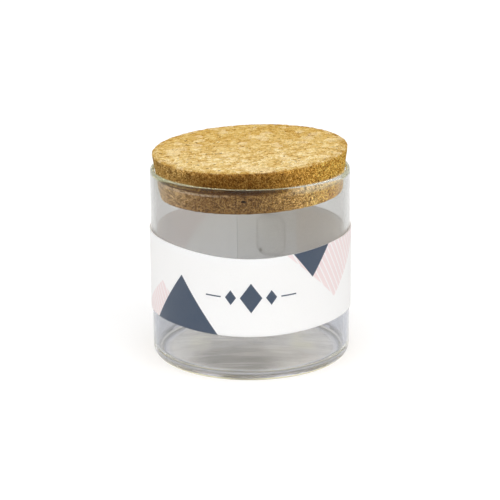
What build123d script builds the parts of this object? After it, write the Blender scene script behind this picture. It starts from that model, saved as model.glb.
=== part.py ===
"""A straight-sided glass storage jar with a tapered cork lid and a paper sleeve.

The origin is the centre of the jar's foot, +Z is up and the front of the
sleeve faces -Y.
"""

import os
from math import asin, cos, degrees, radians, sin, tan

from build123d import *

# Glass jar
jar_diameter = 85.0
jar_height = 82.4
wall = 2.0
floor_thickness = 2.6
heel_radius = 4.5
inner_corner_radius = 4.0
foot_ring_width = 2.4
push_up = 1.4

# Cork lid
lid_height = 18.3
lid_insertion = 10.2
lid_taper = 7.8
lid_edge_radius = 0.7
lid_gap = 0.3
lid_tilt = 2.5
lid_tilt_heading = 35.0

# Paper sleeve
sleeve_gap = 0.3
paper_thickness = 0.3
sleeve_bottom = 22.0
sleeve_height = 34.6
front_dip_top = 3.0
front_dip_bottom = 1.6
seam_angle = 98.5
outer_end_angle = 60.0
step_foot_angle = 118.0
step_top_angle = 103.0

# Glue patch between the sleeve's two ends
patch_width = 12.0
patch_height = 17.5
patch_thickness = 0.2
patch_chamfer = 2.6
patch_offset_x = 9.6
patch_above_sleeve_bottom = 9.7

# Sizes that follow from those above
jar_radius = jar_diameter / 2
bore_radius = jar_radius - wall
lip_radius = wall / 2
lip_centre_radius = jar_radius - lip_radius
lip_centre_height = jar_height - lip_radius
heel_start = jar_radius - heel_radius
foot_ring_inner = heel_start - foot_ring_width
floor_centre = push_up + floor_thickness
corner_start = bore_radius - inner_corner_radius

sleeve_inner_radius = jar_radius + sleeve_gap
sleeve_outer_radius = sleeve_inner_radius + paper_thickness
lap_inner_radius = sleeve_outer_radius + patch_thickness
lap_outer_radius = lap_inner_radius + paper_thickness
sleeve_top = sleeve_bottom + sleeve_height


def on_circle(radius, angle):
    """The point at this radius and this angle in degrees, seen from above."""
    return (radius * cos(radians(angle)), radius * sin(radians(angle)))


def along_circle(angle):
    """The direction in which a clockwise walk passes this angle."""
    return (sin(radians(angle)), -cos(radians(angle)))


# Glass jar: one blown wall of even thickness with a fire-polished round lip,
# a rounded heel, and a floor pushed up so that it stands on a narrow ring.
with BuildPart() as glass_jar:
    with BuildSketch(Plane.XZ) as jar_profile:
        with BuildLine() as jar_outline:
            underside = TangentArc(
                (0, push_up), (foot_ring_inner, 0), tangent=(1, 0)
            )
            foot_ring = Line(underside @ 1, (heel_start, 0))
            heel = JernArc(foot_ring @ 1, (1, 0), heel_radius, 90)
            outer_wall = Line(heel @ 1, (jar_radius, lip_centre_height))
            lip = JernArc(outer_wall @ 1, (0, 1), lip_radius, 180)
            inner_wall = Line(
                lip @ 1, (bore_radius, floor_thickness + inner_corner_radius)
            )
            inner_corner = JernArc(
                inner_wall @ 1, (0, -1), inner_corner_radius, -90
            )
            floor = TangentArc(
                (0, floor_centre), (corner_start, floor_thickness), tangent=(1, 0)
            )
            Line((0, floor_centre), (0, push_up))
        make_face()
    revolve(axis=Axis.Z)
glass_jar.part.label = "glass_jar"

# Cork lid: one tapered disc of pressed cork granules, wedged in the mouth and
# pushed in a little deeper at the front left. Its cone passes the round lip
# with an even gap, so it shifts towards its raised side by the small amount
# that the tilt widens it on the low side.
lip_section_radius = lip_centre_radius - (lip_radius + lid_gap) / cos(radians(lid_taper))
lid_depth_below_lip = lid_insertion - lip_radius
lid_bottom_radius = lip_section_radius - lid_depth_below_lip * tan(radians(lid_taper))
lid_shift = lip_section_radius * sin(radians(lid_tilt)) * tan(radians(lid_taper))
shift_x, shift_y = on_circle(lid_shift, lid_tilt_heading)
lean_x, lean_y = on_circle(sin(radians(lid_tilt)), lid_tilt_heading)
lid_plane = Plane(
    origin=(shift_x, shift_y, lip_centre_height),
    z_dir=(-lean_x, -lean_y, cos(radians(lid_tilt))),
)
with BuildPart() as cork_lid:
    with BuildSketch(lid_plane.offset(-lid_depth_below_lip)):
        Circle(lid_bottom_radius)
    extrude(amount=lid_height, taper=-lid_taper)
    lid_rims = cork_lid.edges().filter_by(GeomType.CIRCLE)
    fillet(lid_rims, radius=lid_edge_radius)
cork_lid.part.label = "cork_lid"

# Paper sleeve: one strip of thin card wrapped round the jar. At the back its
# left end steps out and laps over its right end, and its edges dip in front.
with BuildPart() as paper_sleeve:
    with BuildSketch(Plane.XY.offset(sleeve_bottom - front_dip_bottom)):
        with BuildLine():
            around = 360 + seam_angle - step_foot_angle
            lap = step_top_angle - outer_end_angle
            inner_face = CenterArc((0, 0), sleeve_inner_radius, seam_angle, -around)
            inner_step = Spline(
                inner_face @ 1,
                on_circle(lap_inner_radius, step_top_angle),
                tangents=(along_circle(step_foot_angle), along_circle(step_top_angle)),
            )
            inner_lap = CenterArc((0, 0), lap_inner_radius, step_top_angle, -lap)
            outer_lap = CenterArc((0, 0), lap_outer_radius, step_top_angle, -lap)
            outer_step = Spline(
                on_circle(sleeve_outer_radius, step_foot_angle),
                on_circle(lap_outer_radius, step_top_angle),
                tangents=(along_circle(step_foot_angle), along_circle(step_top_angle)),
            )
            outer_face = CenterArc((0, 0), sleeve_outer_radius, seam_angle, -around)
            Line(inner_lap @ 1, outer_lap @ 1)
            Line(inner_face @ 0, outer_face @ 0)
        make_face()
    extrude(amount=sleeve_height + front_dip_bottom)
    # The side view of the strip: level behind the jar's middle, and curving
    # down towards the front.
    with BuildSketch(Plane.YZ):
        with BuildLine():
            Line((lap_outer_radius, sleeve_bottom), (lap_outer_radius, sleeve_top))
            Line((lap_outer_radius, sleeve_top), (0, sleeve_top))
            TangentArc(
                (0, sleeve_top),
                (-lap_outer_radius, sleeve_top - front_dip_top),
                tangent=(-1, 0),
            )
            Line(
                (-lap_outer_radius, sleeve_top - front_dip_top),
                (-lap_outer_radius, sleeve_bottom - front_dip_bottom),
            )
            TangentArc(
                (0, sleeve_bottom),
                (-lap_outer_radius, sleeve_bottom - front_dip_bottom),
                tangent=(-1, 0),
            )
            Line((0, sleeve_bottom), (lap_outer_radius, sleeve_bottom))
        make_face()
    extrude(amount=lap_outer_radius, both=True, mode=Mode.INTERSECT)
paper_sleeve.part.label = "paper_sleeve"

# Glue patch: the adhesive tab with cut corners that holds the two ends of the
# strip together, so it is curved like them and fills the gap between them.
patch_bottom = sleeve_bottom + patch_above_sleeve_bottom
with BuildPart() as glue_patch:
    with BuildSketch(Plane.XY.offset(patch_bottom)):
        Circle(lap_inner_radius)
        Circle(sleeve_outer_radius, mode=Mode.SUBTRACT)
    extrude(amount=patch_height)
    patch_centre = Plane.XZ * Location((patch_offset_x, patch_bottom + patch_height / 2))
    with BuildSketch(patch_centre) as patch_outline:
        Rectangle(patch_width, patch_height)
        chamfer(patch_outline.vertices(), length=patch_chamfer)
    extrude(amount=-lap_outer_radius, mode=Mode.INTERSECT)
glue_patch.part.label = "glue_patch"

os.makedirs("parts", exist_ok=True)
for piece in (glass_jar, cork_lid, paper_sleeve, glue_patch):
    export_step(piece.part, f"parts/{piece.part.label}.step")
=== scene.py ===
"""A straight-sided glass jar with a pressed cork lid and a printed paper sleeve."""

from math import asin, cos, pi, radians, sin, sqrt, tan

import bpy
from mathutils import Matrix, Vector, noise


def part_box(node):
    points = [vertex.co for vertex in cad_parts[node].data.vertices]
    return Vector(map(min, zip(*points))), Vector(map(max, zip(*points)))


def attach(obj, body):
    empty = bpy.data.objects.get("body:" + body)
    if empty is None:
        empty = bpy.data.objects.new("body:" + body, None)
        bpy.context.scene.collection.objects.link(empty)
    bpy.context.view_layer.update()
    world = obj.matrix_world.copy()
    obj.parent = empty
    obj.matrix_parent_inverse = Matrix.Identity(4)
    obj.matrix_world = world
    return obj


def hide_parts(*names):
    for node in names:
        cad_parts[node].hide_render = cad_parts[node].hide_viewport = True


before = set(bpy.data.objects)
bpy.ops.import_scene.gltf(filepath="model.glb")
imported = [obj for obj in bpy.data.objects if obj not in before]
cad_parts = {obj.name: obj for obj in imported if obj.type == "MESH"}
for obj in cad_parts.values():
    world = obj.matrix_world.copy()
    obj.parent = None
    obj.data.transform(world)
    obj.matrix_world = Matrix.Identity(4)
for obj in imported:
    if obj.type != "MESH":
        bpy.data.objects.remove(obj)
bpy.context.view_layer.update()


# The studio: a pale floor without an edge and an even white surround. The
# broadest lamp is overhead, with weaker ones from the left, right and front.
# The camera stands a little above the jar and looks down on it.
MM = 0.001
white = (1.0, 1.0, 1.0)
black = (0.0, 0.0, 0.0)
camera_distance = 760 * MM
camera_pitch = radians(16.2)
camera_roll = radians(-0.47)
camera_aim_height = 45.1 * MM
camera_lens = 127.3
camera_shift = -0.0013
camera_near_limit = 10 * MM
all_bounces = 256
glass_bounces = 128
see_through_bounces = 64
surround_strength = 0.52
floor_radius = 8000 * MM
floor_sides = 96
floor_colour = (0.88, 0.88, 0.88)
floor_lift = (0.18, 0.18, 0.18)
# Each lamp's strength, its spread, height and heading in degrees, and colour.
lamps = {
    "overhead": (0.40, 70, 68, 15, white),
    "right_box": (0.16, 50, 24, 58, (1.0, 0.98, 0.95)),
    "left_box": (0.24, 60, 18, -62, white),
    "front": (0.15, 60, 8, 5, white),
}


class Value:
    """The output of a shader node, with the arithmetic that adds Math nodes."""

    def __init__(self, shader, socket):
        self.shader, self.socket = shader, socket

    def math(self, operation, *others):
        return self.shader.math(operation, self, *others)

    def __add__(self, other):
        return self.math("ADD", other)

    __radd__ = __add__

    def __sub__(self, other):
        return self.math("SUBTRACT", other)

    def __rsub__(self, other):
        return self.shader.math("SUBTRACT", other, self)

    def __mul__(self, other):
        return self.math("MULTIPLY", other)

    __rmul__ = __mul__

    def __truediv__(self, other):
        return self.math("DIVIDE", other)

    def __rtruediv__(self, other):
        return self.shader.math("DIVIDE", other, self)

    def __gt__(self, other):
        return self.math("GREATER_THAN", other)

    def __lt__(self, other):
        return self.math("LESS_THAN", other)

    def absolute(self):
        return self.math("ABSOLUTE")

    def most(self, other):
        return self.math("MAXIMUM", other)

    def rise(self, low, high):
        """0 below low, 1 above high, smooth between. Falls if low is above high."""
        return self.shader.node(
            "ShaderNodeMapRange",
            {"interpolation_type": "SMOOTHSTEP"},
            Value=self,
            **{"From Min": low, "From Max": high},
        )


class Shader:
    """The node tree of a material, or of the world."""

    def __init__(self, owner):
        owner.use_nodes = True
        self.owner, self.tree = owner, owner.node_tree
        self.tree.nodes.clear()

    def fill(self, socket, value):
        """Links a value to a socket, or sets the socket to a number or colour."""
        if isinstance(value, Value):
            self.tree.links.new(value.socket, socket)
        elif socket.type == "RGBA" and len(value) == 3:
            socket.default_value = (*value, 1)
        else:
            socket.default_value = value

    def node(self, kind, settings=None, *values, out=0, **named):
        """Adds a node, sets it up, fills its sockets and gives one output."""
        node = self.tree.nodes.new(kind)
        stops = (settings or {}).pop("stops", None)
        for key, setting in (settings or {}).items():
            setattr(node, key, setting)
        if stops:
            ramp = node.color_ramp
            while len(ramp.elements) < len(stops):
                ramp.elements.new(0.5)
            for element, (place, colour) in zip(ramp.elements, stops):
                element.position = place
                element.color = (*colour, 1)
        for key, value in [*enumerate(values), *named.items()]:
            self.fill(node.inputs[key], value)
        return Value(self, node.outputs[out])

    def outputs(self, kind, *values):
        """Every output of a node, by its number or its name."""
        return self.node(kind, None, *values).socket.node.outputs

    def math(self, operation, *values):
        return self.node("ShaderNodeMath", {"operation": operation}, *values)

    def vector(self, operation, *values, **others):
        return self.node("ShaderNodeVectorMath", {"operation": operation}, *values, **others)

    def mix(self, share, first, second, blend="MIX"):
        """Two colours blended: first where share is 0, second where it is 1."""
        settings = {"data_type": "RGBA", "blend_type": blend}
        mixer = self.node("ShaderNodeMix", settings, out=2)
        for index, value in ((0, share), (6, first), (7, second)):
            self.fill(mixer.socket.node.inputs[index], value)
        return mixer

    def parts(self, vector, kind="ShaderNodeSeparateXYZ"):
        """The three numbers of a vector, or of a colour."""
        return [Value(self, socket) for socket in self.outputs(kind, vector)]

    def place(self):
        """Where the surface lies, in metres."""
        return self.node("ShaderNodeTexCoord", out=3)

    def attribute(self, name, out=2):
        """What the mesh says at each point: a number from out 2, a vector from out 1."""
        return self.node("ShaderNodeAttribute", {"attribute_name": name}, out=out)

    def clouds(self, place, size, detail=2.0, roughness=0.5, out=0):
        """Soft noise whose blots are about this size."""
        return self.node(
            "ShaderNodeTexNoise",
            out=out,
            Vector=place,
            Scale=1 / size,
            Detail=detail,
            Roughness=roughness,
        )

    def bump(self, height, strength, distance):
        return self.node(
            "ShaderNodeBump", None, Height=height, Strength=strength, Distance=distance
        )

    def ray_is(self, kind):
        """1 where the light path is of this kind, such as Shadow, and 0 elsewhere."""
        return Value(self, self.outputs("ShaderNodeLightPath")[f"Is {kind} Ray"])

    def surface(self, shader, output="ShaderNodeOutputMaterial"):
        self.tree.links.new(shader.socket, self.tree.nodes.new(output).inputs["Surface"])


def seen_white(shader):
    """1 for rays from the camera, straight or by way of glass and gloss, 0 for others."""
    seen = shader.ray_is("Camera")
    for kind in ("Glossy", "Transmission"):
        seen = seen.most(shader.ray_is(kind))
    return seen


def mesh_object(name, points, faces, smooth=True):
    """A mesh object from points in metres and faces as lists of point numbers."""
    mesh = bpy.data.meshes.new(name)
    mesh.from_pydata(points, [], faces)
    mesh.polygons.foreach_set("use_smooth", [smooth] * len(faces))
    mesh.update()
    made = bpy.data.objects.new(name, mesh)
    bpy.context.scene.collection.objects.link(made)
    return made


def headings(count):
    """Directions spread evenly round a circle."""
    return [(cos(2 * pi * i / count), sin(2 * pi * i / count)) for i in range(count)]


scene = bpy.context.scene
scene.view_settings.view_transform = "Standard"
# Light runs a long way inside the wall of a jar before it comes out at the lip.
scene.cycles.max_bounces = all_bounces
scene.cycles.glossy_bounces = glass_bounces
scene.cycles.transmission_bounces = glass_bounces
scene.cycles.transparent_max_bounces = see_through_bounces

camera_data = bpy.data.cameras.new("camera")
camera_data.lens = camera_lens
camera_data.shift_x = camera_shift
camera_data.clip_start = camera_near_limit
camera = bpy.data.objects.new("camera", camera_data)
camera_back = Vector((0, -cos(camera_pitch), sin(camera_pitch)))
camera.matrix_world = (
    Matrix.Translation(Vector((0, 0, camera_aim_height)) + camera_distance * camera_back)
    @ Matrix.Rotation(pi / 2 - camera_pitch, 4, "X")
    @ Matrix.Rotation(camera_roll, 4, "Z")
)
scene.collection.objects.link(camera)
scene.camera = camera

scene.world = bpy.data.worlds.new("surround")
surround = Shader(scene.world)
brightness = surround.node(
    "ShaderNodeMapRange", None, seen_white(surround), **{"To Min": surround_strength}
)
surround.surface(
    surround.node("ShaderNodeBackground", Color=white, Strength=brightness),
    "ShaderNodeOutputWorld",
)

for lamp_name, (strength, spread, height, heading, colour) in lamps.items():
    lamp_data = bpy.data.lights.new(lamp_name, "SUN")
    lamp_data.energy = strength * pi
    lamp_data.angle = radians(spread)
    lamp_data.color = colour
    lamp = bpy.data.objects.new(lamp_name, lamp_data)
    lamp.rotation_euler = (radians(90 - height), 0, radians(heading))
    scene.collection.objects.link(lamp)

floor_white = Shader(bpy.data.materials.new("floor_white"))
floor_white.surface(
    floor_white.node(
        "ShaderNodeBsdfPrincipled",
        **{
            "Base Color": floor_colour,
            "Roughness": 1.0,
            "Specular IOR Level": 0.0,
            "Emission Color": floor_white.mix(seen_white(floor_white), black, floor_lift),
            "Emission Strength": 1.0,
        },
    )
)
floor_ring = [(floor_radius * x, floor_radius * y, 0) for x, y in headings(floor_sides)]
floor = mesh_object("floor", floor_ring, [list(range(floor_sides))], smooth=False)
floor.data.materials.append(floor_white.owner)


# Glass jar: one piece of clear borosilicate glass, blown with an even wall,
# its lip melted round in the flame and its floor pushed up so that it stands
# on a ring. The inside is very slightly wavy.
jar_radius, _, jar_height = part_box("glass_jar")[1]
wall = 2.0 * MM
floor_thickness = 2.6 * MM
heel_radius = 4.5 * MM
inner_corner_radius = 4.0 * MM
foot_ring_width = 2.4 * MM
push_up = 1.4 * MM
lip_round = 1.7 * MM
ripple_depth = 0.05 * MM
ripple_length = 22 * MM
floor_ripple_depth = 0.10 * MM
floor_ripple_length = 7 * MM
jar_segments = 256
dome_rings = 24
foot_rings = 3
heel_rings = 18
wall_rings = 40
lip_rings = 24
corner_rings = 16

bore_radius = jar_radius - wall
lip_radius = wall / 2
lip_centre_radius = jar_radius - lip_radius
lip_centre_height = jar_height - lip_radius
lip_start = jar_height - lip_round
heel_start = jar_radius - heel_radius
foot_ring_inner = heel_start - foot_ring_width
corner_start = bore_radius - inner_corner_radius
inner_corner_top = floor_thickness + inner_corner_radius

# Colours of the glass, each for one pass through a face of it. Most are painted light: the grey
# of the walls, heel and floor is painted shade, the darker, yellowed lip is painted shade with a
# painted reflection of the cork, and the gleams are painted highlights.
glass_index = 1.474
glass_gloss = (0.3, 0.3, 0.3)
glass_shade = (0.99, 0.99, 0.99)
low_wall_shade = (0.49, 0.51, 0.56)
high_wall_shade = (0.52, 0.515, 0.50)
lip_shade_and_reflection = (0.40, 0.35, 0.17)
lip_inner_shade = (0.74, 0.74, 0.60)
lip_left_shade = (0.31, 0.31, 0.12)
lip_right_shade = (0.44, 0.44, 0.20)
lip_gleam = (0.96, 0.94, 0.86)
heel_shade = (0.22, 0.22, 0.22)
heel_inner_shade = (0.32, 0.32, 0.315)
heel_gleam = (0.78, 0.80, 1.0)
floor_shade = (0.64, 0.62, 0.57)
floor_pale = (1.0, 0.98, 0.92)
floor_middle = (0.27, 0.26, 0.235)
floor_gleam = (1.0, 0.98, 0.80)
foot_shade = (0.50, 0.47, 0.30)
foot_gleam = (1.0, 0.94, 0.52)
foot_clear = (0.92, 0.92, 0.90)
foot_roughness = 0.6
foot_gloss = 0.3

# How much of each painted shade, highlight and reflection shows, and of the matt foot.
left_wall_shade_share = 0.13
heel_streak_share = 0.7
floor_middle_share = 0.7
floor_middle_back = 0.5
floor_shade_share = 0.55
floor_pale_share = 0.75
foot_matt_least = 0.18
foot_matt_front = 0.32
foot_matt_edge = 0.06

# Where each painted shade or highlight sets in and where it is full: heights first, then places
# from left to right or front to back, and last the distances from the jar's axis.
wall_span = (15 * MM, 60 * MM)
below_inside = (2.5 * MM, 2.3 * MM)
near_lip = (70 * MM, 79 * MM)
heel_streak_low = (1.3 * MM, 1.8 * MM)
heel_streak_high = (3.4 * MM, 2.6 * MM)
heel_height = (5.5 * MM, 3 * MM)
foot_height = (2.0 * MM, 1.6 * MM)
foot_edge_height = (0.7 * MM, 1.0 * MM)
lip_height = (lip_start - 0.3 * MM, lip_start + 0.3 * MM)
left_wall = (-30 * MM, -40 * MM)
lip_inner_ends = (26 * MM, 38 * MM)
lip_left_to_right = (-5 * MM, 5 * MM)
lip_ends = (30 * MM, 37 * MM)
lip_lit_from = (12 * MM, 20 * MM)
lip_lit_to = (39 * MM, 36 * MM)
heel_gleam_middle = -1.5 * MM
heel_gleam_aside = 15.5 * MM
heel_gleam_reach = (6 * MM, 2.5 * MM)
floor_middle_place = -7 * MM
floor_middle_reach = (27 * MM, 8 * MM)
floor_middle_front = (5 * MM, -25 * MM)
floor_gleam_aside = 22 * MM
floor_gleam_width = (7 * MM, 2 * MM)
floor_gleam_back = 2 * MM
floor_gleam_depth = (14 * MM, 3 * MM)
foot_edge_middle = -4 * MM
foot_edge_aside = (2 * MM, 12 * MM)
foot_matt_span = (10 * MM, -10 * MM)
outer_half = (bore_radius + 0.8 * MM, bore_radius + 1.2 * MM)
heel_reach = (37 * MM, 41 * MM)
foot_reach = (38.9 * MM, 39.1 * MM)
floor_reach = (38 * MM, 34 * MM)

# Each kind of streak's length, width and height, and the noise that shows it. The streaks are
# painted highlights, reflections and shade.
heel_streaks = (30 * MM, 9 * MM, 2.0)
heel_streak_noise = (0.52, 0.66)
dark_streaks = (30 * MM, 5 * MM)
dark_streak_noise = (0.52, 0.62)
pale_streaks = (34 * MM, 4 * MM, 1.5)
pale_streak_noise = (0.56, 0.64)
gleam_streaks = (18 * MM, 5 * MM)
gleam_streak_noise = (0.35, 0.60)


def arc(centre, radius, start, end, count, tall=1.0):
    """Points on a circle in the (radius, height) plane, or on a circle drawn tall."""
    angles = [radians(start + (end - start) * i / count) for i in range(count + 1)]
    return [(centre[0] + radius * cos(a), centre[1] + tall * radius * sin(a)) for a in angles]


def run(start, end, count):
    """Points on the straight line from start towards end, without its last one."""
    return [
        tuple(a + (b - a) * i / count for a, b in zip(start, end)) for i in range(count)
    ]


def dome(rise, reach, base, count):
    """Points from the axis outwards on a shallow cap of this rise."""
    return [(reach * i / count, base + rise * (1 - (i / count) ** 2)) for i in range(count)]


def turned(name, profile, segments):
    """A closed body of revolution. The profile starts and ends on the axis."""
    points = [(0, 0, profile[0][1])]
    for radius, height in profile[1:-1]:
        points += [(radius * x, radius * y, height) for x, y in headings(segments)]
    points.append((0, 0, profile[-1][1]))
    last = len(points) - 1
    faces = []
    for i in range(segments):
        j = (i + 1) % segments
        faces.append((0, 1 + j, 1 + i))
        faces.append((last, last - segments + i, last - segments + j))
        for row in range(len(profile) - 3):
            a = 1 + row * segments
            b = a + segments
            faces.append((a + i, a + j, b + j, b + i))
    return mesh_object(name, points, faces)


jar_profile = [
    *dome(push_up, foot_ring_inner, 0, dome_rings),
    *run((foot_ring_inner, 0), (heel_start, 0), foot_rings),
    *arc((heel_start, heel_radius), heel_radius, -90, 0, heel_rings),
    *run((jar_radius, heel_radius), (jar_radius, lip_start), wall_rings)[1:],
    *arc(
        (lip_centre_radius, lip_start), lip_radius, 0, 180, lip_rings, lip_round / lip_radius
    ),
    *run((bore_radius, lip_start), (bore_radius, inner_corner_top), wall_rings)[1:],
    *arc((corner_start, inner_corner_top), inner_corner_radius, 0, -90, corner_rings),
    *reversed(dome(push_up, corner_start, floor_thickness, dome_rings)),
]
glass_jar = turned("clear_glass_jar", jar_profile, jar_segments)
smooth_normals = [vertex.normal.copy() for vertex in glass_jar.data.vertices]
for vertex, normal in zip(glass_jar.data.vertices, smooth_normals):
    off_axis = Vector((vertex.co.x, vertex.co.y, 0)).length
    if floor_thickness < vertex.co.z < lip_start and off_axis < lip_centre_radius:
        sway = noise.noise(vertex.co / ripple_length) * ripple_depth
        if off_axis < corner_start:
            sway += noise.noise(vertex.co / floor_ripple_length) * floor_ripple_depth
        vertex.co += sway * normal
glass_jar.data.update()

glass = Shader(bpy.data.materials.new("clear_glass"))
glass_spot = glass.place()
glass_x, glass_y, glass_up = glass.parts(glass_spot)
glass_out = glass.vector("LENGTH", glass.vector("MULTIPLY", glass_spot, (1, 1, 0)), out=1)
glass_aside = glass_x.absolute()


def glass_streaks(length, width, height=1.0):
    """Noise drawn out from left to right."""
    place = glass.vector("MULTIPLY", glass_spot, (width / length, 1.0, height))
    return glass.clouds(place, width, detail=1.0)


outer_face = glass_out.rise(*outer_half).most(glass_up.rise(*below_inside))
# Painted shade: the walls are greyed, bluer low down and warmer high up.
wall_colour = glass.mix(glass_up.rise(*wall_span), low_wall_shade, high_wall_shade)
# Painted shade: the left wall is darker still.
wall_colour = glass.mix(left_wall_shade_share * glass_x.rise(*left_wall), wall_colour, black)
# Painted shade: the inner face is darkened near the lip at its left and right ends.
by_lip = glass_up.rise(*near_lip) * glass_aside.rise(*lip_inner_ends)
inner_colour = glass.mix(by_lip, white, lip_inner_shade)
wall_colour = glass.mix(outer_face, inner_colour, wall_colour)

# Painted light in the heel: it is greyed as painted shade, with painted highlights in pale blue
# streaks.
gleam_shows = ((glass_x - heel_gleam_middle).absolute() - heel_gleam_aside).absolute()
gleam_shows = gleam_shows.rise(*heel_gleam_reach)
streak_shows = glass_streaks(*heel_streaks).rise(*heel_streak_noise)
gleam_shows = gleam_shows.most(heel_streak_share * streak_shows)
in_streak = glass_up.rise(*heel_streak_low) * glass_up.rise(*heel_streak_high)
heel_colour = glass.mix(outer_face, heel_inner_shade, heel_shade)
heel_colour = glass.mix(in_streak * gleam_shows, heel_colour, heel_gleam)

# Painted light on the jar's floor: the darker middle and the dark streaks are painted shade, the
# pale streaks are painted reflections and the gleams at the sides are painted highlights.
in_middle = (glass_x - floor_middle_place).absolute().rise(*floor_middle_reach)
towards_front = (1 - floor_middle_back) * glass_y.rise(*floor_middle_front)
in_middle = in_middle * (floor_middle_back + towards_front)
inside_floor = glass.mix(floor_middle_share * in_middle, floor_pale, floor_middle)
streak_shows = glass_streaks(*dark_streaks).rise(*dark_streak_noise)
inside_floor = glass.mix(floor_shade_share * streak_shows, inside_floor, floor_shade)
streak_shows = glass_streaks(*pale_streaks).rise(*pale_streak_noise)
inside_floor = glass.mix(floor_pale_share * streak_shows, inside_floor, floor_pale)
gleam_shows = (glass_aside - floor_gleam_aside).absolute().rise(*floor_gleam_width)
gleam_shows = gleam_shows * (glass_y - floor_gleam_back).absolute().rise(*floor_gleam_depth)
gleam_shows = gleam_shows * glass_streaks(*gleam_streaks).rise(*gleam_streak_noise)
inside_floor = glass.mix(gleam_shows, inside_floor, floor_gleam)

# Painted light on the foot: a dark olive matt ring stands for painted shade at the standing
# edge, with a pale front edge as a painted highlight.
foot_edge = (glass_x - foot_edge_middle).absolute().rise(*foot_edge_aside)
foot_edge = glass_up.rise(*foot_edge_height) * foot_edge
foot_colour = glass.mix(foot_edge, foot_shade, foot_gleam)
in_foot = glass_up.rise(*foot_height) * glass_out.rise(*foot_reach)
foot_matt = foot_matt_least + foot_matt_front * glass_y.rise(*foot_matt_span)
foot_matt = in_foot * (foot_matt - foot_matt_edge * foot_edge)

# Painted light on the lip: it is darkened and yellowed as painted shade with a painted
# reflection of the cork, with its own shades at the left and right ends, and a painted highlight
# at the right.
lip_end = glass.mix(glass_x.rise(*lip_left_to_right), lip_left_shade, lip_right_shade)
lip_colour = glass.mix(glass_aside.rise(*lip_ends), lip_shade_and_reflection, lip_end)
lit_lip = glass_x.rise(*lip_lit_from) * glass_x.rise(*lip_lit_to)
lip_colour = glass.mix(lit_lip, lip_colour, lip_gleam)

in_heel = glass_up.rise(*heel_height) * glass_out.rise(*heel_reach)
glass_colour = glass.mix(in_heel, wall_colour, heel_colour)
glass_colour = glass.mix(glass_out.rise(*floor_reach), glass_colour, inside_floor)
glass_colour = glass.mix(in_foot * foot_edge, glass_colour, foot_clear)
glass_colour = glass.mix(glass_up.rise(*lip_height), glass_colour, lip_colour)
clear = glass.node(
    "ShaderNodeBsdfPrincipled",
    **{
        "Base Color": glass_colour,
        "Roughness": 0.0,
        "IOR": glass_index,
        "Specular Tint": glass_gloss,
        "Transmission Weight": 1.0,
    },
)
matt = glass.node(
    "ShaderNodeBsdfPrincipled",
    **{
        "Base Color": foot_colour,
        "Roughness": foot_roughness,
        "Specular IOR Level": foot_gloss,
    },
)
clear = glass.node("ShaderNodeMixShader", None, foot_matt, clear, matt)
gap = glass.node("ShaderNodeBsdfTransparent", Color=glass_shade)
for kind in ("Shadow", "Diffuse"):
    clear = glass.node("ShaderNodeMixShader", None, glass.ray_is(kind), clear, gap)
glass.surface(clear)
glass_jar.data.materials.append(glass.owner)
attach(glass_jar, "jar")
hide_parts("glass_jar")


# Cork lid: a tapered disc cut from a block of cork granules pressed together
# with a little binder. Its sawn faces show the granules, a few of which have
# broken out and left pits. It is wedged in the mouth, deeper at the front left.
lid_height = 18.3 * MM
lid_insertion = 10.2 * MM
lid_taper = radians(7.8)
lid_edge_radius = 0.7 * MM
lid_gap = 0.3 * MM
lid_tilt = radians(2.5)
lid_tilt_heading = radians(35)
face_cells = 165
side_steps = 34
turn_steps = 3

lip_section_radius = lip_centre_radius - (lip_radius + lid_gap) / cos(lid_taper)
lid_below_lip = lid_insertion - lip_radius
lid_bottom_radius = lip_section_radius - lid_below_lip * tan(lid_taper)
lid_top_radius = lid_bottom_radius + lid_height * tan(lid_taper)
lid_shift = lip_section_radius * sin(lid_tilt) * tan(lid_taper)
lean = Vector((cos(lid_tilt_heading), sin(lid_tilt_heading), 0))
lid_seat = (
    Matrix.Translation(lid_shift * lean + Vector((0, 0, lip_centre_height)))
    @ Matrix.Rotation(lid_tilt, 4, lean.cross(Vector((0, 0, 1))))
    @ Matrix.Translation((0, 0, -lid_below_lip))
)

# How the cork is carved. Grooves and pits are given in shares of a granule.
carved_granule = 2.4 * MM
carved_crumb = 1.1 * MM
warp_size = 3.5 * MM
warp_reach = 0.9 * MM
warp_seed = 1
seed_stretch = 7.7
step_depth = 0.10 * MM
groove_depth = 0.07 * MM
groove_width = 0.25
crumb_groove_depth = groove_depth / 2
crumb_groove_width = 0.3
pit_depth = 0.5 * MM
pit_edge = (0.05, 0.35)
crumb_pit_edge = (0.05, 0.4)
crumb_pit_share = 1.6
crumb_pit_tone = 0.7
top_pits = 0.010
side_pits = 0.035
bottom_pits = 0.03
chip_depth = 0.45 * MM
chip_reach = 1.0 * MM
chip_length = 1.8 * MM
chip_wear = 0.25
press_depth = 0.12 * MM
press_width = 0.8 * MM
side_starts = (0.15 * MM, 1.0 * MM)
bottom_as_side = 0.5

# Sizes of the grains in the cork's colours, and the shares of granule, crumb,
# grit, fibre and cloud in its tone, on the sawn faces and on the side.
granule_size = 2.3 * MM
crumb_size = 1.0 * MM
grit_size = 0.5 * MM
fibre_size = 0.36 * MM
side_fibre_size = 0.24 * MM
fine_speck_size = 0.42 * MM
cloud_size = 11 * MM
flake_size = 4.0 * MM
wide_bend = (3 * MM, 0.8 * MM)
fine_bend = (0.9 * MM, 0.22 * MM)
side_stretch = (1.0, 0.55, 1.15)
fibre_noise = (0.32, 0.68)
side_fibre_noise = (0.37, 0.63)
cloud_noise = (0.35, 0.65)
face_shares = (0.26, 0.26, 0.16, 0.28, 0.04)
side_shares = (0.04, 0.12, 0.30, 0.50, 0.04)
plug_contrast = 0.45
tone_stops = (0.18, 0.36, 0.50, 0.66, 0.84)
face_tones = (
    (172, 122, 56), (210, 166, 90), (227, 190, 116), (240, 211, 150), (250, 232, 188)
)
# The side's tones are darker than the faces': partly the cork's own colour, partly painted
# shade, as the side faces away from the overhead light.
side_tones = ((66, 42, 14), (106, 74, 28), (138, 102, 46), (168, 130, 68), (202, 166, 100))
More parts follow.
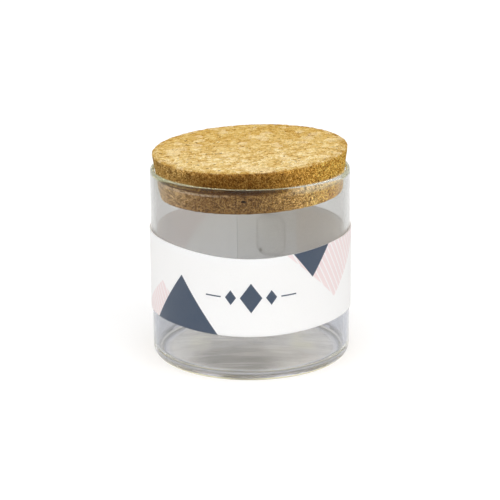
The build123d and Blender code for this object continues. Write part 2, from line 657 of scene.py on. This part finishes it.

# Tints that multiply the tones, and where each sets in and is full. Most are painted light:
# where the light falls more or less on the side, the top face and the part below the lip.
side_front_shade = (0.57, 0.49, 0.39)
side_right_light = (2.70, 2.56, 1.98)
side_left_light = (1.52, 1.64, 1.90)
side_brightest = (0.95, 0.80, 0.50)
plug_middle = (1.57, 1.72, 2.36)
plug_left = (1.61, 1.67, 2.20)
plug_right = (1.50, 1.36, 1.45)
face_back_shade = (0.93, 0.90, 0.71)
face_front_light = (1.085, 1.175, 1.34)
front_edge_highlight = (2.0, 2.0, 2.0)
front_edge_highlight_share = 0.6
face_rim_dark = (0.78, 0.71, 0.57)
plug_height = (81 * MM, 79 * MM)
side_right_from = (-1 * MM, 42 * MM)
side_left_from = (-15 * MM, -39 * MM)
plug_left_from = (-12 * MM, -24 * MM)
plug_right_from = (22 * MM, 32 * MM)
face_back_to_front = (34 * MM, -34 * MM)
front_edge_place = -6 * MM
front_edge_reach = (32 * MM, 18 * MM)
front_edge_width = (4.6 * MM, 0.6 * MM)
face_rim_width = (4.4 * MM, 1.4 * MM)
face_rim_ragged = 2.4 * MM

# Seams, cracks, specks and flakes, by the noise or the share that shows them.
seam_width = (0.07, 0.0)
seam_patch_size = 1.5 * MM
seam_patch_noise = (0.42, 0.60)
seam_share = 0.45
plug_seam_loss = 0.5
crack_width = (0.12, 0.0)
crack_patch_size = 2.1 * MM
crack_patch_noise = (0.50, 0.66)
crack_share = 0.38
speck_above = 0.985
side_crumb_above = 0.945
side_grit_above = 0.87
speck_share = 0.7
side_speck_share = 0.66
fine_speck_share = 0.46
fine_speck_in_plug = 0.15
fine_speck_noise = (0.56, 0.64)
flake_above = 0.80
flake_fibre = (0.0, 0.6)
flake_share = 0.55
flake_colour = (252, 232, 186)
seam_colour = (132, 82, 28)
face_dark = (112, 64, 8)
side_dark = (72, 43, 14)
pit_shade_share = 0.45

# Painted light at the lip's height on the side, where the lip has pressed a ring into it:
# painted shade at the left and in front, a painted highlight at the right, and a thin painted
# highlight under it at the left.
ring_height = 80.3 * MM
ring_drop = 0.65 * MM
ring_left = (-4 * MM, -20 * MM)
ring_dark_width = (1.3 * MM, 0.5 * MM)
ring_dark_right = (16 * MM, 0)
ring_narrowing = 1.15
ring_left_narrowing = 1.3
ring_patch_size = 4 * MM
ring_patch_noise = (0.20, 0.40)
ring_shade_share = 0.85
ring_pale_width = (2.4 * MM, 0.6 * MM)
ring_pale_from = (12 * MM, 24 * MM)
ring_pale_depth = (4 * MM, -10 * MM)
ring_highlight_share = 0.55
ring_highlight_colour = (255, 242, 205)
under_ring_drop = 1.1 * MM
under_ring_width = (0.7 * MM, 0.2 * MM)
under_ring_share = 0.40
under_ring_highlight_colour = (244, 226, 200)

# One dark granule in the front of the plug.
knot_x = -2.6 * MM
knot_height = 76.8 * MM
knot_half_width = 1.2 * MM
knot_half_height = 0.5 * MM
knot_outline = (1.2, 0.6)
knot_share = 0.95
knot_colour = (24, 14, 6)

# The fine relief: shares of fibre, grit, crumb, seam and speck in its height.
relief_shares = (0.5, 0.35, 0.35, -0.8, -0.5)
cork_bump_strength = 0.5
cork_bump_depth = 0.16 * MM


def linear(red, green, blue):
    """A colour given in the 0 to 255 of a screen, as the light it stands for."""
    shares = [channel / 255 for channel in (red, green, blue)]
    return tuple(s / 12.92 if s < 0.04045 else ((s + 0.055) / 1.055) ** 2.4 for s in shares)


def smooth(value, low, high):
    """0 below low and 1 above high, smooth between."""
    share = min(max((value - low) / (high - low), 0), 1)
    return share * share * (3 - 2 * share)


def disc_grid(cells):
    """Even points over a unit disc: a square grid whose rows are bent into rings."""
    points = []
    for row in range(cells + 1):
        for column in range(cells + 1):
            x, y = 2 * column / cells - 1, 2 * row / cells - 1
            if abs(x) > abs(y):
                points.append((x * cos(pi / 4 * y / x), x * sin(pi / 4 * y / x)))
            elif y:
                points.append((y * sin(pi / 4 * x / y), y * cos(pi / 4 * x / y)))
            else:
                points.append((0, 0))
    return points


def disc_border(cells):
    """The numbers of the grid points on the rim of the disc, counterclockwise."""
    line = cells + 1
    south = [i for i in range(cells)]
    east = [cells + i * line for i in range(cells)]
    north = [cells * line + cells - i for i in range(cells)]
    west = [(cells - i) * line for i in range(cells)]
    return south + east + north + west


def chance(seed, stream):
    """A fixed number from 0 to 1 for this granule, another for each stream."""
    return 0.5 + 0.5 * noise.cell(seed_stretch * seed + Vector((stream, 0, 0)))


def carve(place, pits):
    """How deep the surface lies at this place, and how far it is a dark pit."""
    bend = noise.noise_vector(place / warp_size) * warp_reach
    gaps, seeds = noise.voronoi((place + bend) / carved_granule)
    border = gaps[1] - gaps[0]
    depth = step_depth * chance(seeds[0], 1)
    depth += groove_depth * (1 - smooth(border, 0, groove_width))
    pit = smooth(border, *pit_edge) if chance(seeds[0], 2) < pits else 0
    gaps, seeds = noise.voronoi((place - bend) / carved_crumb)
    border = gaps[1] - gaps[0]
    depth += crumb_groove_depth * (1 - smooth(border, 0, crumb_groove_width))
    if chance(seeds[0], 3) < crumb_pit_share * pits:
        pit = max(pit, crumb_pit_tone * smooth(border, *crumb_pit_edge))
    return depth + pit_depth * pit, pit


def lid_rings():
    """The radius, height and facing angle of each ring from the top face to the bottom."""
    flat_top = lid_top_radius - lid_edge_radius
    flat_bottom = lid_bottom_radius - lid_edge_radius
    rings = []
    for i in range(1, turn_steps + 1):
        angle = pi / 2 - (lid_taper + pi / 2) * i / turn_steps
        drop = lid_edge_radius * (1 - sin(angle))
        rings.append((flat_top + lid_edge_radius * cos(angle), lid_height - drop, angle))
    high = rings[-1][:2]
    low = (
        flat_bottom + lid_edge_radius * cos(lid_taper),
        lid_edge_radius * (1 - sin(lid_taper)),
    )
    for radius, height in run(high, low, side_steps)[1:] + [low]:
        rings.append((radius, height, -lid_taper))
    for i in range(1, turn_steps):
        angle = -lid_taper - (pi / 2 - lid_taper) * i / turn_steps
        rise = lid_edge_radius * (1 + sin(angle))
        rings.append((flat_bottom + lid_edge_radius * cos(angle), rise, angle))
    return rings


def cork_body(name):
    """The carved lid, with how dark each point is, and how far on the side or edge."""
    grid, border, count = disc_grid(face_cells), disc_border(face_cells), 4 * face_cells
    points, notes = [], {"pit": [], "side": [], "edge": []}

    def add(place, outwards, pits, side):
        depth, pit = carve(place, pits)
        from_edge = lid_height - place.z + max(lid_top_radius - Vector(place.xy).length, 0)
        chip = max(noise.noise(place / chip_length) + chip_wear, 0) * chip_depth
        depth += chip * max(1 - from_edge / chip_reach, 0)
        pressed = 1 - smooth(abs(place.z - lid_below_lip), 0, press_width)
        depth += press_depth * pressed * (side > 0)
        points.append(lid_seat @ (place - depth * outwards))
        for note, value in zip(notes.values(), (pit, side, from_edge)):
            note.append(value)

    def add_face(radius, height, facing, pits, side):
        for x, y in grid:
            add(Vector((x * radius, y * radius, height)), Vector((0, 0, facing)), pits, side)

    add_face(lid_top_radius - lid_edge_radius, lid_height, 1, top_pits, 0)
    rings = [border]
    for radius, height, angle in lid_rings():
        rings.append(list(range(len(points), len(points) + count)))
        side = smooth(lid_height - height, *side_starts)
        for number in border:
            x, y = grid[number]
            place = Vector((x * radius, y * radius, height))
            outwards = Vector((x * cos(angle), y * cos(angle), sin(angle)))
            add(place, outwards, side_pits, side)
    first = len(points)
    rings.append([first + number for number in border])
    add_face(lid_bottom_radius - lid_edge_radius, 0, -1, bottom_pits, bottom_as_side)

    faces = []
    line = face_cells + 1
    for row in range(face_cells):
        for column in range(face_cells):
            a = row * line + column
            corner = (a, a + 1, a + line + 1, a + line)
            faces.append(corner)
            faces.append(tuple(first + number for number in reversed(corner)))
    for upper, lower in zip(rings, rings[1:]):
        for i in range(count):
            j = (i + 1) % count
            faces.append((upper[i], lower[i], lower[j], upper[j]))
    body = mesh_object(name, points, faces)
    for note, values in notes.items():
        attribute = body.data.attributes.new(note, "FLOAT", "POINT")
        attribute.data.foreach_set("value", values)
    return body


# Without a seed, noise_vector would bend the granules another way on each run.
noise.seed_set(warp_seed)
cork_lid = cork_body("pressed_cork_lid")

cork = Shader(bpy.data.materials.new("pressed_cork"))
cork_spot = cork.place()
cork_x, cork_y, cork_up = cork.parts(cork_spot)


def cork_shift(size, reach):
    """An offset that wanders by about this reach over about this size."""
    offset = cork.vector("SUBTRACT", cork.clouds(cork_spot, size, out=1), (0.5, 0.5, 0.5))
    return cork.vector("SCALE", offset, Scale=2 * reach)


def cork_cells(size, feature="F1", out=0):
    """Cells of about this size, with wandering borders."""
    settings = {"feature": feature}
    return cork.node("ShaderNodeTexVoronoi", settings, out=out, Vector=bent_spot, Scale=1 / size)


def cell_tones(size):
    """Three numbers from 0 to 1, fixed for each cell."""
    return cork.parts(cork_cells(size, out=1), "ShaderNodeSeparateColor")


def cell_borders(size, width):
    """1 on the borders between cells and 0 within them."""
    return cork_cells(size, "DISTANCE_TO_EDGE").rise(*width)


def mixed_tone(shares, tones):
    """The sum of these tones, each by its share."""
    total = shares[0] * tones[0]
    for share, tone in zip(shares[1:], tones[1:]):
        total = total + share * tone
    return total


def cork_ramp(tones, tone):
    """The colour that this tone picks from dark to pale cork."""
    stops = [(stop, linear(*colour)) for stop, colour in zip(tone_stops, tones)]
    return cork.node("ShaderNodeValToRGB", {"stops": stops}, tone)


def tinted(colour, tint):
    return cork.mix(1.0, colour, tint, "MULTIPLY")


bent_spot = cork.vector("ADD", cork_spot, cork_shift(*wide_bend))
bent_spot = cork.vector("ADD", bent_spot, cork_shift(*fine_bend))
side_spot = cork.vector("MULTIPLY", cork_spot, side_stretch)
granule_tone = cell_tones(granule_size)[0]
crumb_tone, crumb_dark, _ = cell_tones(crumb_size)
grit_tone, grit_dark, _ = cell_tones(grit_size)
fibre = cork.clouds(cork_spot, fibre_size, roughness=0.6).rise(*fibre_noise)
side_fibre = cork.clouds(side_spot, side_fibre_size, detail=1.0).rise(*side_fibre_noise)
cloud = cork.clouds(cork_spot, cloud_size).rise(*cloud_noise)
side = cork.attribute("side")
pit = cork.attribute("pit")
edge = cork.attribute("edge")
in_plug = cork_up.rise(*plug_height)

face_tone = mixed_tone(face_shares, (granule_tone, crumb_tone, grit_tone, fibre, cloud))
side_tone = mixed_tone(side_shares, (granule_tone, crumb_tone, grit_tone, side_fibre, cloud))
side_tone = side_tone + (side_tone - 0.5) * (plug_contrast * in_plug)

side_colour = cork_ramp(side_tones, side_tone)
# Painted light on the side: darker in front, lighter at the right and at the left.
side_light_and_shade = cork.mix(cork_x.rise(*side_right_from), side_front_shade, side_right_light)
side_light_and_shade = cork.mix(cork_x.rise(*side_left_from), side_light_and_shade, side_left_light)
side_colour = tinted(side_colour, side_light_and_shade)
# Painted highlight: the side just under the top edge is lighter in front.
rim_band = (cork_x - front_edge_place).absolute().rise(*front_edge_reach)
rim_band = edge.rise(*front_edge_width) * rim_band
side_colour = cork.mix(front_edge_highlight_share * rim_band, side_colour, front_edge_highlight, "MULTIPLY")
side_colour = cork.vector("MINIMUM", side_colour, side_brightest)
# Painted light on the part below the lip, seen through the glass: brightened and cooled, a
# little otherwise at the left and at the right.
plug_painted_light = cork.mix(cork_x.rise(*plug_left_from), plug_middle, plug_left)
plug_painted_light = cork.mix(cork_x.rise(*plug_right_from), plug_painted_light, plug_right)
side_colour = tinted(side_colour, cork.mix(in_plug, white, plug_painted_light))

face_colour = cork_ramp(face_tones, face_tone)
# Painted light on the top face: darker and warmer at the back, paler and cooler in front.
face_light_and_shade = cork.mix(cork_y.rise(*face_back_to_front), face_back_shade, face_front_light)
face_colour = tinted(face_colour, face_light_and_shade)
# The top face is darker towards its rim.
rim_band = (edge + face_rim_ragged * fibre).rise(*face_rim_width)
face_colour = cork.mix(rim_band, face_colour, face_rim_dark, "MULTIPLY")
cork_colour = cork.mix(side, face_colour, side_colour)

flake = cork.parts(cork_cells(flake_size, out=1), "ShaderNodeSeparateColor")[1]
flake = (flake > flake_above) * fibre.rise(*flake_fibre) * (1 - side)
cork_colour = cork.mix(flake_share * flake, cork_colour, linear(*flake_colour))

# Painted light where the lip meets the side: painted shade at the left and in front, a painted
# highlight at the right, and a thin painted highlight under it at the left.
leftwards = cork_x.rise(*ring_left)
under_ring = ring_height - ring_drop * leftwards - cork_up
off_ring = under_ring.absolute()
painted_ring_highlight = off_ring.rise(*ring_pale_width) * cork_x.rise(*ring_pale_from)
painted_ring_highlight = painted_ring_highlight * cork_y.rise(*ring_pale_depth)
cork_colour = cork.mix(ring_highlight_share * painted_ring_highlight, cork_colour, linear(*ring_highlight_colour))
painted_line_highlight = (under_ring - under_ring_drop).absolute().rise(*under_ring_width) * leftwards
cork_colour = cork.mix(under_ring_share * painted_line_highlight, cork_colour, linear(*under_ring_highlight_colour))
painted_ring_shade = off_ring * (ring_narrowing + ring_left_narrowing * leftwards)
painted_ring_shade = painted_ring_shade.rise(*ring_dark_width) * cork_x.rise(*ring_dark_right)
painted_ring_shade = painted_ring_shade * cork.clouds(cork_spot, ring_patch_size).rise(*ring_patch_noise)

seam_patches = cork.clouds(cork_spot, seam_patch_size).rise(*seam_patch_noise)
seam = cell_borders(granule_size, seam_width) * seam_patches * (1 - plug_seam_loss * in_plug)
crack = cork.clouds(cork_spot, crack_patch_size).rise(*crack_patch_noise)
crack = cell_borders(crumb_size, crack_width) * crack
lines = (seam_share * seam).most(crack_share * crack)
cork_colour = cork.mix(lines, cork_colour, linear(*seam_colour))

speck = (crumb_dark > speck_above).most(grit_dark > speck_above)
side_speck = (crumb_dark > side_crumb_above).most(grit_dark > side_grit_above)
fine_speck = cork.clouds(side_spot, fine_speck_size, detail=1.0).rise(*fine_speck_noise)
fine_speck = (fine_speck_share + fine_speck_in_plug * in_plug) * fine_speck
side_speck = side * (side_speck_share * side_speck).most(fine_speck)
dark = (speck_share * speck).most(side_speck)
# Painted shade: the pits are darkened in their hollows.
dark = dark.most(pit_shade_share * pit).most(ring_shade_share * painted_ring_shade)
dark_colour = cork.mix(side, linear(*face_dark), linear(*side_dark))
cork_colour = cork.mix(dark, cork_colour, dark_colour)

knot_across = (cork_x - knot_x) / knot_half_width
knot_along = (cork_up - knot_height) / knot_half_height
knot = (knot_across * knot_across + knot_along * knot_along).rise(*knot_outline)
knot = knot * (cork_y < 0)
cork_colour = cork.mix(knot_share * knot, cork_colour, linear(*knot_colour))

cork_relief = mixed_tone(relief_shares, (fibre, grit_tone, crumb_tone, seam, speck))
cork.surface(
    cork.node(
        "ShaderNodeBsdfPrincipled",
        **{
            "Base Color": cork_colour,
            "Roughness": 1.0,
            "Specular IOR Level": 0.0,
            "Normal": cork.bump(cork_relief, cork_bump_strength, cork_bump_depth),
        },
    )
)
cork_lid.data.materials.append(cork.owner)
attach(cork_lid, "lid")
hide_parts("cork_lid")


# Paper sleeve: a strip of thin white card, printed on its coated outer face
# with a plain pattern, wrapped round the jar and lapped at the back. Its
# inner face, seen through the jar, is uncoated and lets some light through.
sleeve_gap = 0.3 * MM
paper_thickness = 0.3 * MM
sleeve_bottom = 22.0 * MM
sleeve_height = 34.6 * MM
front_dip_top = 3.0 * MM
front_dip_bottom = 1.6 * MM
seam_angle = radians(98.5)
outer_end_angle = radians(60)
step_foot_angle = radians(118)
step_top_angle = radians(103)
patch_width = 12.0 * MM
patch_height = 17.5 * MM
patch_thickness = 0.2 * MM
patch_chamfer = 2.6 * MM
patch_offset_x = 9.6 * MM
patch_above_sleeve_bottom = 9.7 * MM
sleeve_columns = 640
sleeve_rows = 60

sleeve_inner_radius = jar_radius + sleeve_gap
sleeve_outer_radius = sleeve_inner_radius + paper_thickness
lap_step = paper_thickness + patch_thickness
strip_turn = 2 * pi + seam_angle - outer_end_angle
patch_middle = sleeve_bottom + patch_above_sleeve_bottom + patch_height / 2

# The patch presses a faint outline through the strip, darkened in colour on its slopes as
# painted shade, with one blot of glue.
mark_depth = 0.12 * MM
mark_slope = 0.8 * MM
outline_shade = 3.0
blot_radius = 1.6 * MM
blot_share = 1.6
blot_x = patch_offset_x - patch_width / 2 + 1.2 * MM
blot_height = patch_middle - patch_height / 2 + 1.6 * MM

# The print is laid out in millimetres along and up the strip, from the middle
# of the front, and its pink parts come again at the back. A triangle has its
# place, half width and height, and a lozenge its place and half its two sizes.
strip_height = sleeve_height / MM
repeat = pi * sleeve_inner_radius / MM
pink_standing = (-44, 22, 17)
pink_hanging = (40, 25, 24)
slate_standing = (-31, 17, 23)
slate_hanging = (27, 9, 12)
lozenges = ((0, 4.6, 6.6), (-8.4, 2.3, 3.3), (8.4, 2.3, 3.3))
stripe_pitch = 2.8
stripe_slant = 0.55
stripe_gap = 0.2
rule_half_height = 0.3
rule_start, rule_end = 12.5, 19.0
ink_pink = (240, 221, 224)
ink_slate = (46, 64, 86)
card_white = (250, 252, 255)

# The bare inner face, its mottle, edges and marks, and the light it lets through.
card_bare = (246, 241, 234)
card_bare_left_light = (250, 247, 241)
card_bare_top = (248, 249, 250)
card_fleck = (150, 148, 146)
card_glue_and_shade = (120, 110, 98)
card_edge = (130, 130, 130)
card_glow = (252, 252, 251)
bare_left_from = (-80, -115)
bare_top_from = (strip_height - 3, strip_height - 1)
outer_layer = (0.4, 0.9)
mottle_size = 0.5 * MM
buckle_size = 6 * MM
buckle_share = 0.5
mottle_noise = (0.45, 0.75)
fleck_share = 0.06
mark_share = 0.85
edge_share = 0.30
bare_roughness = 0.8
coat_smoothing = 0.3
ink_smoothing = 0.08
card_gloss = 0.35
card_bump_strength = 0.25
card_bump_depth = 0.03 * MM
lap_right, lap_left = 112, -128
lap_right_fade = (112, 138)
lap_left_fade = (-157, -131)
left_glow_from = (-60, -90)
strip_glow = 0.38
lap_glow = 0.44
seam_glow = 0.16
coated_seam_glow = 0.14
left_glow = 0.58
left_coat_loss = 0.42
slate_loss = 0.30
pink_loss = 0.06
mark_loss = 0.20


def bent_sheet(name, columns, thickness, rows):
    """A closed sheet of upright columns, each an angle, a radius, and two heights."""
    points, faces = [], []
    for face in (0, 1):
        for angle, radius, low, high in columns:
            out = radius + face * thickness
            x, y = cos(angle) * out, sin(angle) * out
            points += [(x, y, low + (high - low) * row / rows) for row in range(rows + 1)]
    line, last = rows + 1, len(columns) - 1
    outer = len(columns) * line

    def join(a, b, c, d, flip=False):
        faces.append((d, c, b, a) if flip else (a, b, c, d))

    for column in range(last):
        for row in range(rows):
            a = column * line + row
            b = a + line
            join(a, b, b + 1, a + 1)
            join(outer + a, outer + b, outer + b + 1, outer + a + 1, flip=True)
        for row in (0, rows):
            a = column * line + row
            join(a, outer + a, outer + a + line, a + line, flip=row > 0)
    for column in (0, last):
        for row in range(rows):
            a = column * line + row
            join(a, a + 1, outer + a + 1, outer + a, flip=column > 0)
    return mesh_object(name, points, faces)


def dip(angle, depth):
    """How far the strip's edge hangs down here: most at the front, nothing at the back."""
    return depth * max(-sin(angle), 0) ** 4


def in_patch(x, z, slope):
    """1 over the glued patch, 0 beyond it, with a slope round its outline."""
    off_x, off_z = abs(x - patch_offset_x), abs(z - patch_middle)
    corner = (off_x - patch_width / 2 + off_z - patch_height / 2 + patch_chamfer) / sqrt(2)
    outside = max(off_x - patch_width / 2, off_z - patch_height / 2, corner)
    return 1 - smooth(outside, 0, slope)


sleeve_strip = []
seam_turn = 2 * pi + seam_angle
for column in range(sleeve_columns + 1):
    turn = strip_turn * column / sleeve_columns
    angle = seam_angle - turn
    climb = smooth(turn, seam_turn - step_foot_angle, seam_turn - step_top_angle)
    low = sleeve_bottom - dip(angle, front_dip_bottom)
    high = sleeve_bottom + sleeve_height - dip(angle, front_dip_top)
    sleeve_strip.append((angle, sleeve_inner_radius + lap_step * climb, low, high))
paper_sleeve = bent_sheet("printed_paper_sleeve", sleeve_strip, paper_thickness, sleeve_rows)
strip_places = []
for face in (0, 1):
    for angle, radius, low, high in sleeve_strip:
        from_middle = (angle + pi / 2) * sleeve_inner_radius / MM
        for row in range(sleeve_rows + 1):
            strip_places += [from_middle, strip_height * row / sleeve_rows, face]
strip_attribute = paper_sleeve.data.attributes.new("strip", "FLOAT_VECTOR", "POINT")
strip_attribute.data.foreach_set("vector", strip_places)
marks = []
blot = Vector((blot_x, 0, blot_height))
for vertex in paper_sleeve.data.vertices:
    place = vertex.co.copy()
    off_axis = Vector(place.xy).length
    marked = 0
    if place.y > 0 and off_axis < sleeve_outer_radius + patch_thickness / 2:
        raised = in_patch(place.x, place.z, mark_slope)
        inwards = 1 - raised * mark_depth / off_axis
        vertex.co = place.x * inwards, place.y * inwards, place.z
        place.y = 0
        blotted = 1 - smooth((place - blot).length, 0, blot_radius)
        marked = outline_shade * raised * (1 - raised) + blot_share * blotted
    marks.append(min(marked, 1))
mark_attribute = paper_sleeve.data.attributes.new("mark", "FLOAT", "POINT")
mark_attribute.data.foreach_set("value", marks)

paper = Shader(bpy.data.materials.new("printed_card"))
paper_spot = paper.place()
along, up, layer = paper.parts(paper.attribute("strip", out=1))
mark = paper.attribute("mark")
from_front = along.math("WRAP", repeat / 2, -repeat / 2)


def pennant(centre, half_width, height, hangs=False):
    """A triangle that stands on the lower edge of the strip, or hangs from the upper."""
    level = strip_height - up if hangs else up
    return (level / height + (from_front - centre).absolute() / half_width) < 1.0


def lozenge(centre, half_width, half_height):
    """A lozenge halfway up the strip."""
    aside = (from_front - centre).absolute() / half_width
    return (aside + (up - strip_height / 2).absolute() / half_height) < 1.0


stripes = (from_front + stripe_slant * up) / stripe_pitch
pink = pennant(*pink_standing).most(pennant(*pink_hanging, hangs=True))
pink = pink * (stripes.math("FRACT") > stripe_gap)
slate = pennant(*slate_standing).most(pennant(*slate_hanging, hangs=True))
rule = (up - strip_height / 2).absolute() < rule_half_height
rule = rule * (from_front.absolute() > rule_start) * (from_front.absolute() < rule_end)
slate = slate.most(rule)
for shape in lozenges:
    slate = slate.most(lozenge(*shape))
slate = slate * (along.absolute() < repeat / 2)

coated = layer.rise(*outer_layer)
mottle = paper.clouds(paper_spot, mottle_size, detail=3.0, roughness=0.6)
buckle = paper.clouds(paper_spot, buckle_size, detail=1.0, roughness=0.6)
# Painted light: the bare face is paler at the left.
bare_colour = paper.mix(
    along.rise(*bare_left_from), linear(*card_bare), linear(*card_bare_left_light)
)
bare_colour = paper.mix(up.rise(*bare_top_from), bare_colour, linear(*card_bare_top))
card_colour = paper.mix(coated, bare_colour, linear(*card_white))
card_colour = paper.mix(pink * coated, card_colour, linear(*ink_pink))
card_colour = paper.mix(slate * coated, card_colour, linear(*ink_slate))
flecks = fleck_share * mottle.rise(*mottle_noise)
card_colour = paper.mix(flecks, card_colour, linear(*card_fleck))
# The mark colour darkens the outline's slopes as painted shade and the blot as glue.
card_colour = paper.mix(mark_share * mark, card_colour, linear(*card_glue_and_shade))
cut_edge = layer * (1 - layer) * 4
card_colour = paper.mix(edge_share * cut_edge, card_colour, linear(*card_edge))
ink = slate.most(pink) * coated
card_relief = mottle + buckle_share * buckle
card = paper.node(
    "ShaderNodeBsdfPrincipled",
    **{
        "Base Color": card_colour,
        "Roughness": bare_roughness - coat_smoothing * coated - ink_smoothing * ink,
        "Specular IOR Level": card_gloss,
        "Normal": paper.bump(card_relief, card_bump_strength, card_bump_depth),
    },
)
glow = paper.node("ShaderNodeBsdfTranslucent", Color=linear(*card_glow))

# Shares of the light that comes through: more at the left, which lightens the inner face there
# as painted light, and where the strip is lapped, less through the coat, the ink and the marks.
lap = (along > lap_right).most(along < lap_left)
to_seam = along.rise(*lap_right_fade).most((along < lap_left) * along.rise(*lap_left_fade))
coat_loss = coated * (lap_glow - coated_seam_glow * to_seam)
lap_light = lap * (lap_glow + seam_glow * to_seam - coat_loss)
left_light = along.rise(*left_glow_from) * (left_glow - left_coat_loss * coated)
lets_through = strip_glow + lap_light.most(left_light)
ink_loss = coated * (slate_loss * slate).most(pink_loss * pink)
lets_through = lets_through - ink_loss - mark_loss * mark
paper.surface(paper.node("ShaderNodeMixShader", None, lets_through, card, glow))
paper_sleeve.data.materials.append(paper.owner)
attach(paper_sleeve, "sleeve")
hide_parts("paper_sleeve")


# Glued patch: a short piece of clear double-sided tape with cut corners, put
# between the two ends of the strip where they lap. It shows from inside as a
# faint raised outline.
patch_clearance = 0.015 * MM
patch_columns = 60
patch_rows = 40
tape_mottle_size = 0.9 * MM
tape_mottle_noise = (0.35, 0.7)
tape_dark = (234, 228, 208)
tape_pale = (244, 240, 226)
tape_glow = (254, 254, 254)
tape_glow_share = 0.94
tape_roughness = 0.25
tape_roughening = 0.2
tape_bump_strength = 0.3
tape_bump_depth = 0.03 * MM

patch_strip = []
patch_radius = sleeve_outer_radius + patch_clearance
for column in range(patch_columns + 1):
    aside = patch_width * (column / patch_columns - 0.5)
    cut = max(abs(aside) - patch_width / 2 + patch_chamfer, 0)
    reach = patch_height / 2 - cut
    angle = pi / 2 - asin((patch_offset_x + aside) / patch_radius)
    patch_strip.append((angle, patch_radius, patch_middle - reach, patch_middle + reach))
glue_patch = bent_sheet(
    "double_sided_tape", patch_strip, patch_thickness - 2 * patch_clearance, patch_rows
)

tape = Shader(bpy.data.materials.new("clear_tape"))
tape_mottle = tape.clouds(tape.place(), tape_mottle_size, detail=3.0)
tape_colour = tape.mix(
    tape_mottle.rise(*tape_mottle_noise), linear(*tape_dark), linear(*tape_pale)
)
tape_front = tape.node(
    "ShaderNodeBsdfPrincipled",
    **{
        "Base Color": tape_colour,
        "Roughness": tape_roughness + tape_roughening * tape_mottle,
        "Normal": tape.bump(tape_mottle, tape_bump_strength, tape_bump_depth),
    },
)
tape_back = tape.node("ShaderNodeBsdfTranslucent", Color=linear(*tape_glow))
tape.surface(tape.node("ShaderNodeMixShader", None, tape_glow_share, tape_front, tape_back))
glue_patch.data.materials.append(tape.owner)
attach(glue_patch, "sleeve")
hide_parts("glue_patch")
